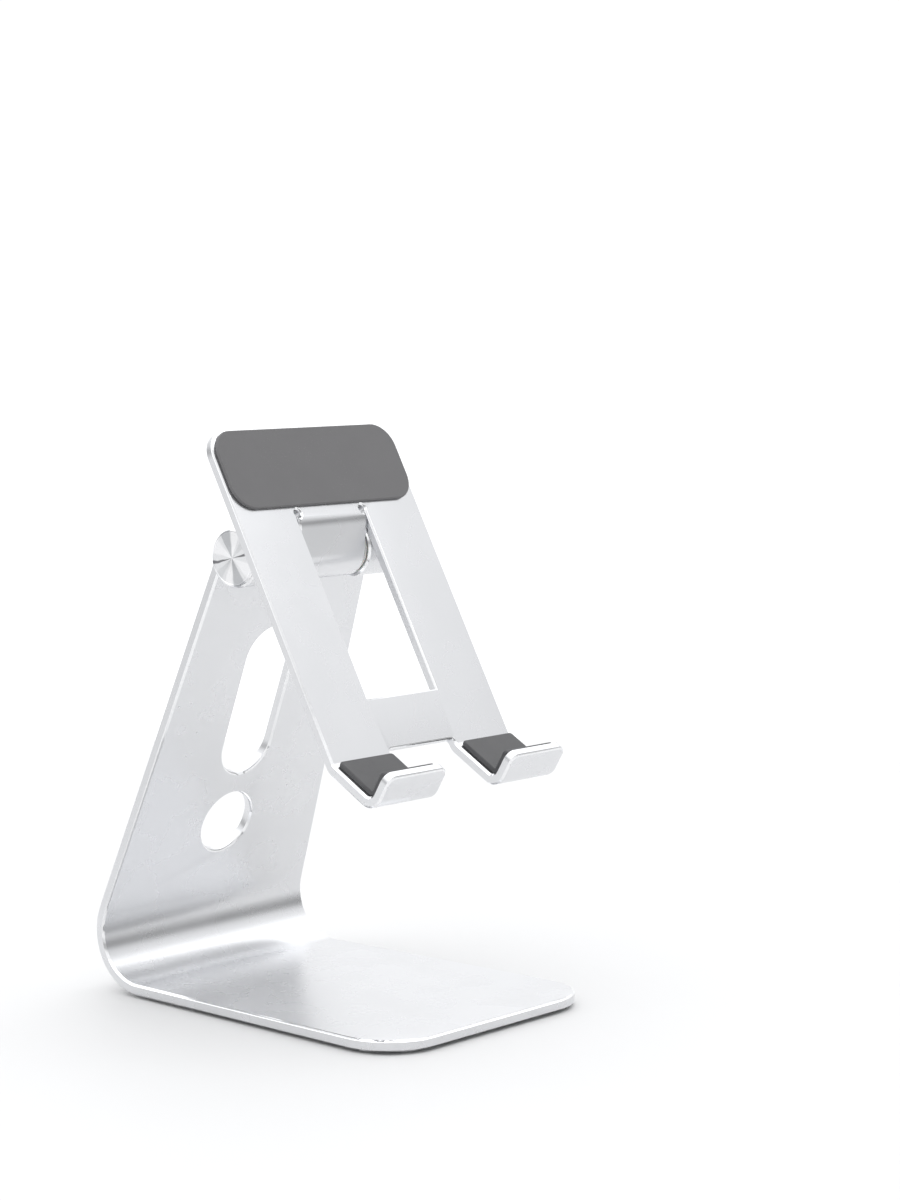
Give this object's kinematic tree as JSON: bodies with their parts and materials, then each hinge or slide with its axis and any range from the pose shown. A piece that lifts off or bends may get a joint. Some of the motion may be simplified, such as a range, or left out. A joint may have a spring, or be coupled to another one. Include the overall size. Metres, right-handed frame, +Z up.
{
  "type": "adjustable tablet stand",
  "caption": "Adjustable desktop tablet stand: a bent plate foot with cable openings and a tilting tray with hooks and pads on a friction hinge.",
  "frame": {"origin": "on the floor under the middle of the foot, at the bottom centre of the bounding box", "axes": "+Z up; -Y to the front, where the tablet faces; +X to the right when looking towards +Y"},
  "size_m": [0.1068, 0.145, 0.1999],
  "materials": {
    "silver_aluminium": "fine bead-blasted and silver anodised, with bright cut chamfers",
    "spun_aluminium": "turned face with fine circular lines",
    "zinc_plated_steel": "zinc plated",
    "white_nylon": "plain moulded nylon",
    "grey_silicone": "matte silicone",
    "dark_rubber": "matte rubber"
  },
  "bodies": {
    "base": {"foot_plate": "silver_aluminium", "foot_pad": "grey_silicone", "hinge_axle": "zinc_plated_steel", "thrust_washer_left": "white_nylon", "thrust_washer_right": "white_nylon", "ear_bush_left": "white_nylon", "ear_bush_right": "white_nylon", "flat_washer_left": "zinc_plated_steel", "flat_washer_right": "zinc_plated_steel", "cup_washer_left": "zinc_plated_steel", "cup_washer_right": "zinc_plated_steel", "axle_nut_left": "zinc_plated_steel", "axle_nut_right": "zinc_plated_steel", "end_cap_left": "spun_aluminium", "end_cap_right": "spun_aluminium"},
    "tray": {"tray_plate": "silver_aluminium", "top_pad": "grey_silicone", "hook_pad_left": "dark_rubber", "hook_pad_right": "dark_rubber", "friction_sleeve_left": "zinc_plated_steel", "friction_sleeve_right": "zinc_plated_steel"}
  },
  "joints": [
    {"name": "tray_tilt", "type": "hinge", "parent": "base", "child": "tray", "pos_m": [0, 0.01386, 0.157], "axis": [-1, 0, 0], "range_deg": [-60, 130]}
  ]
}
